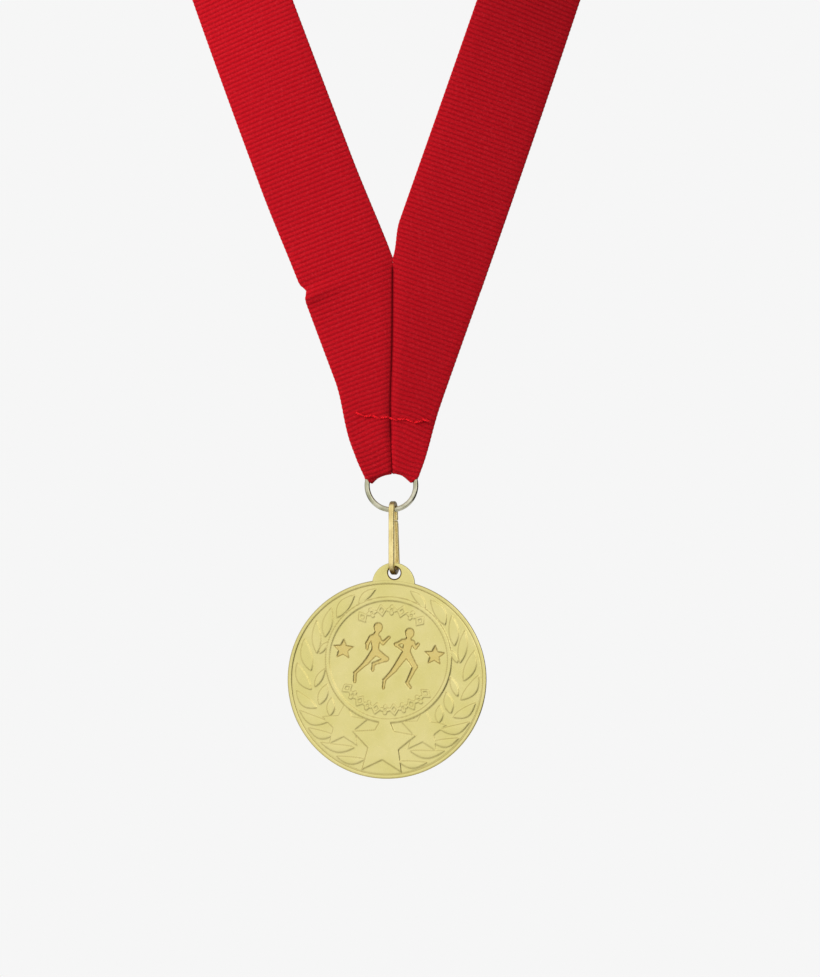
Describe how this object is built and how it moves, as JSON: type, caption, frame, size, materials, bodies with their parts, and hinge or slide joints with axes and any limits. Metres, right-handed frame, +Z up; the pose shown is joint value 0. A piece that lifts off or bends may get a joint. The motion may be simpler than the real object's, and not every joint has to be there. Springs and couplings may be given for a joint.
{
  "type": "neck medal",
  "caption": "Round stamped gold award medal with an eared rim, wreath, star and runner relief, hung by a wire link and jump ring from a mitred red grosgrain neck ribbon.",
  "frame": {"origin": "middle of the ribbon's inner face at the back of the neck, where the loop bears", "axes": "+Z up, the medal hangs below the origin and its front faces -Y; +X is to the right as the front is seen"},
  "size_m": [0.1511, 0.111, 0.4048],
  "materials": {
    "medal_gold": "satin pale gold plating on a stamped disc",
    "link_gold": "bright gold plated square wire",
    "ring_nickel": "bright pale plated round wire",
    "red_grosgrain": "cross-ribbed woven ribbon",
    "red_thread": "polyester sewing thread"
  },
  "bodies": {
    "ribbon": {"ribbon_front": "red_grosgrain", "ribbon_ring_fold": "red_grosgrain", "ribbon_tail": "red_grosgrain", "ribbon_stitching": "red_thread", "ribbon_left_strap": "red_grosgrain", "ribbon_right_strap": "red_grosgrain", "ribbon_left_shoulder": "red_grosgrain", "ribbon_right_shoulder": "red_grosgrain", "ribbon_neck_band": "red_grosgrain"},
    "ring": {"jump_ring": "ring_nickel"},
    "link": {"hanger_link": "link_gold"},
    "medal": {"medal_disc": "medal_gold"}
  },
  "joints": [
    {"name": "ring_swing", "type": "hinge", "parent": "ribbon", "child": "ring", "pos_m": [0.00311, -0.10008, -0.32502], "axis": [1, 0, 0], "range_deg": [-60, 60], "deforming": ["ribbon_ring_fold"]},
    {"name": "link_swing", "type": "hinge", "parent": "ring", "child": "link", "pos_m": [0.00351, -0.10008, -0.33601], "axis": [1, 0, 0], "range_deg": [-120, 120]},
    {"name": "medal_swing", "type": "hinge", "parent": "link", "child": "medal", "pos_m": [0.00376, -0.10008, -0.35033], "axis": [0, 1, 0], "range_deg": [-80, 80]}
  ]
}
